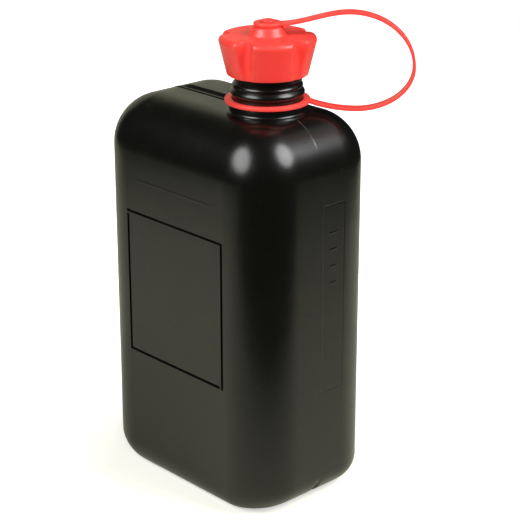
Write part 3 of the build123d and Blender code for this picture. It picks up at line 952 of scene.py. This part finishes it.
class FUELCAN_OT_stage(bpy.types.Operator):
    """Builds the paper floor, the board behind the can, the five lamps and the camera at the photograph's angle"""

    bl_idname = "fuelcan.stage"
    bl_label = "Stage"

    def execute(self, context):
        scene = context.scene
        self.floor()
        self.board()
        self.world(scene)
        front = (47, -39, 200), (-0.13, -0.80, 0.58)
        # The tall box shows in the gloss, and the key behind it gives the light that goes with it.
        gloss = self.softbox("softbox_front", *front, distance=0.95, size=(0.62, 0.9), power=10.8, roll=35)
        gloss.visible_diffuse = False
        key = self.softbox("key", *front, distance=1.0, size=(0.54, 0.54), power=6.6)
        key.visible_glossy = False
        # A honeycomb on the back box keeps it off the paper.
        behind = (61, -20, 203), (0.68, 0.36, 0.64)
        back = self.softbox("softbox_back", *behind, distance=0.95, size=(0.62, 0.78), power=4.4, roll=-28)
        back.data.spread = math.radians(110)
        self.softbox("rim", (60, 0, 200), (0.37, 0.64, 0.67), distance=1.1, size=(0.9, 0.9), power=1.0)
        # The fill lifts the colours and isn't meant to show in the gloss.
        fill = self.softbox("fill", (0, 0, 150), (0.70, -0.63, 0.38), distance=1.5, size=(0.9, 0.9), power=12.4)
        fill.visible_glossy = False
        self.camera(scene)
        return {"FINISHED"}

    def sheet(self, name, size, turn, material):
        """A flat sheet of this size in metres, put in its place by a turn."""
        built = bmesh.new()
        bmesh.ops.create_grid(built, x_segments=4, y_segments=4, size=0.5)
        mesh = as_mesh(name, built)
        mesh.transform(turn @ Matrix.Diagonal((*size, 1.0, 1.0)))
        mesh.materials.append(material)
        made = placed(name, mesh)
        return made

    def floor(self):
        """A sheet of white paper that ends a little in front of the can."""
        turn = Matrix.Rotation(math.radians(PAPER_AZIMUTH), 4, "Z") @ Matrix.Translation((0, 0.515, -0.2 * MM))
        self.sheet("paper", (1.1, 1.5), turn, self.paper("studio_paper", 0.9, 0.5))

    def board(self):
        """A white board that hangs behind the can and shows in its gloss."""
        turn = Matrix.Rotation(math.radians(CAMERA_AZIMUTH), 4, "Z") @ Matrix.Translation((-0.36, 0.85, 0.42))
        upright = Matrix.Rotation(math.radians(90), 4, "X")
        board = self.sheet("board", (0.78, 0.84), turn @ upright, self.paper("white_board", 0.78, 1.0))
        board.visible_camera = False

    def paper(self, name, shade, lift):
        """Studio paper of a shade that keeps the can's soft shadow and is lifted to white for the camera alone, with
        painted shade towards its front edge.
        """
        material, tree, place = new_material(name)
        # Fibres cloud the tone over some 3 mm.
        fibre = node(tree, "ShaderNodeTexNoise", {"Vector": place, "Scale": 300.0, "Detail": 2.0})
        tone = node(tree, "ShaderNodeMix", {
            "Factor": fibre.outputs["Fac"],
            COLOUR_A: dimmed(linear("F3F3DA"), shade), COLOUR_B: dimmed(linear("EFEFD4"), shade),
        }, data_type="RGBA")
        lit = node(tree, "ShaderNodeBsdfDiffuse", {"Color": tone.outputs[MIXED]})
        # For the camera the sheet grows whiter away from the can, up to 0.2 m from the can's middle.
        away = node(tree, "ShaderNodeVectorMath", {0: place}, operation="LENGTH")
        whiter = node(tree, "ShaderNodeMapRange", {
            "Value": away.outputs["Value"], "From Min": 0.07, "From Max": 0.2, "To Min": lift, "To Max": 1.2,
        })
        glow = node(tree, "ShaderNodeEmission", {
            "Strength": whiter.outputs["Result"], "Color": (0.94, 0.93, 1.0, 1.0),
        })
        both = node(tree, "ShaderNodeAddShader", {0: lit.outputs[0], 1: glow.outputs[0]})
        # Painted shade: the sheet's colour is painted darker towards its front edge, which shows only in the can's
        # gloss.
        turn = math.radians(PAPER_AZIMUTH)
        ahead = node(tree, "ShaderNodeVectorMath", {
            0: place, 1: (math.sin(turn), -math.cos(turn), 0.0),
        }, operation="DOT_PRODUCT")
        painted_front_shade = node(tree, "ShaderNodeMapRange", {
            "Value": ahead.outputs["Value"], "From Min": 0.03, "From Max": 0.235, "To Min": 0.0, "To Max": 0.6,
        })
        shaded = node(tree, "ShaderNodeMix", {
            "Factor": painted_front_shade.outputs["Result"], COLOUR_A: tone.outputs[MIXED], COLOUR_B: linear("000000"),
        }, data_type="RGBA")
        dim = node(tree, "ShaderNodeBsdfDiffuse", {"Color": shaded.outputs[MIXED]})
        path = node(tree, "ShaderNodeLightPath")
        seen = node(tree, "ShaderNodeMixShader", {
            0: path.outputs["Is Camera Ray"], 1: dim.outputs[0], 2: both.outputs[0],
        })
        # The sheet is clear from below, so that the can's base can be looked at.
        under = node(tree, "ShaderNodeNewGeometry").outputs["Backfacing"]
        clear = node(tree, "ShaderNodeBsdfTransparent")
        either = node(tree, "ShaderNodeMixShader", {0: under, 1: seen.outputs[0], 2: clear.outputs[0]})
        node(tree, "ShaderNodeOutputMaterial", {"Surface": either.outputs[0]})
        return material

    def world(self, scene):
        """A dim even room that the camera sees as a white backdrop."""
        world = bpy.data.worlds.new("studio")
        world.use_nodes = True
        tree = world.node_tree
        tree.nodes.clear()
        path = node(tree, "ShaderNodeLightPath")
        room = node(tree, "ShaderNodeBackground", {"Color": linear("FFFFFF"), "Strength": 0.02})
        white = node(tree, "ShaderNodeBackground", {"Color": linear("FFFFFF"), "Strength": 1.0})
        mixed = node(tree, "ShaderNodeMixShader", {
            0: path.outputs["Is Camera Ray"], 1: room.outputs[0], 2: white.outputs[0],
        })
        node(tree, "ShaderNodeOutputWorld", {"Surface": mixed.outputs[0]})
        scene.world = world
        scene.view_settings.view_transform = "Standard"

    def softbox(self, name, target, direction, distance, size, power, roll=0):
        """A round softbox that faces a point in millimetres from a direction and is rolled by some degrees."""
        data = bpy.data.lights.new(name, "AREA")
        data.shape = "ELLIPSE"
        (data.size, data.size_y), data.energy = size, power
        lamp = placed(name, data)
        way = Vector(direction).normalized()
        lamp.location = Vector(target) * MM + way * distance
        facing = way.to_track_quat("Z", "Y") @ Quaternion((0, 0, 1), math.radians(roll))
        lamp.rotation_euler = facing.to_euler()
        return lamp

    def camera(self, scene):
        """A camera that stands where the photograph's did, worked out from the can's own edges."""
        azimuth, elevation = math.radians(CAMERA_AZIMUTH), math.radians(21.69)
        distance, middle = 928.9 * MM, Vector((0, 0, 107 * MM))
        focal_px, aim_x, aim_y, frame_px = 1684.7, 234.47, 288.02, 520
        reach = math.cos(elevation)
        back = Vector((math.sin(azimuth) * reach, -math.cos(azimuth) * reach, math.sin(elevation)))
        yaw = math.atan((aim_x - frame_px / 2) / focal_px)
        pitch = math.atan((aim_y - frame_px / 2) / focal_px)
        level = Matrix.Rotation(yaw, 3, "Z") @ -back
        right = level.cross(Vector((0, 0, 1))).normalized()
        ahead = level * math.cos(pitch) + right.cross(level) * math.sin(pitch)
        data = bpy.data.cameras.new("photo_camera")
        data.sensor_width = 36
        data.lens = focal_px / frame_px * data.sensor_width
        camera = placed("photo_camera", data)
        turn = Matrix((right, right.cross(ahead), -ahead)).transposed()
        camera.matrix_world = Matrix.Translation(middle + back * distance) @ turn.to_4x4()
        scene.camera = camera


class FUELCAN_PT_panel(bpy.types.Panel):
    """Lists the can's pieces and their sizes"""

    bl_label = "Fuel Can"
    bl_space_type = "VIEW_3D"
    bl_region_type = "UI"
    bl_category = "Fuel Can"

    def draw(self, context):
        for operator, settings in zip(("shell", "neck", "cap", "strap", "stage"), SETTINGS):
            self.layout.operator("fuelcan." + operator)
            for name in SETTINGS[settings].__annotations__:
                self.layout.prop(getattr(context.scene, settings), name)


SETTINGS = {
    "fuelcan_shell": ShellSettings, "fuelcan_neck": NeckSettings, "fuelcan_cap": CapSettings,
    "fuelcan_strap": StrapSettings, "fuelcan_finish": FinishSettings,
}
CLASSES = (
    *SETTINGS.values(), FUELCAN_OT_shell, FUELCAN_OT_neck, FUELCAN_OT_cap, FUELCAN_OT_strap, FUELCAN_OT_stage,
    FUELCAN_PT_panel,
)


def register():
    for item in CLASSES:
        bpy.utils.register_class(item)
    for name, kind in SETTINGS.items():
        setattr(bpy.types.Scene, name, PointerProperty(type=kind))


def unregister():
    for name in SETTINGS:
        delattr(bpy.types.Scene, name)
    for item in reversed(CLASSES):
        bpy.utils.unregister_class(item)


def main():
    """Builds every piece and the stage."""
    register()
    bpy.ops.fuelcan.shell()
    bpy.ops.fuelcan.neck()
    bpy.ops.fuelcan.cap()
    bpy.ops.fuelcan.strap()
    bpy.ops.fuelcan.stage()


if __name__ == "__main__":
    main()
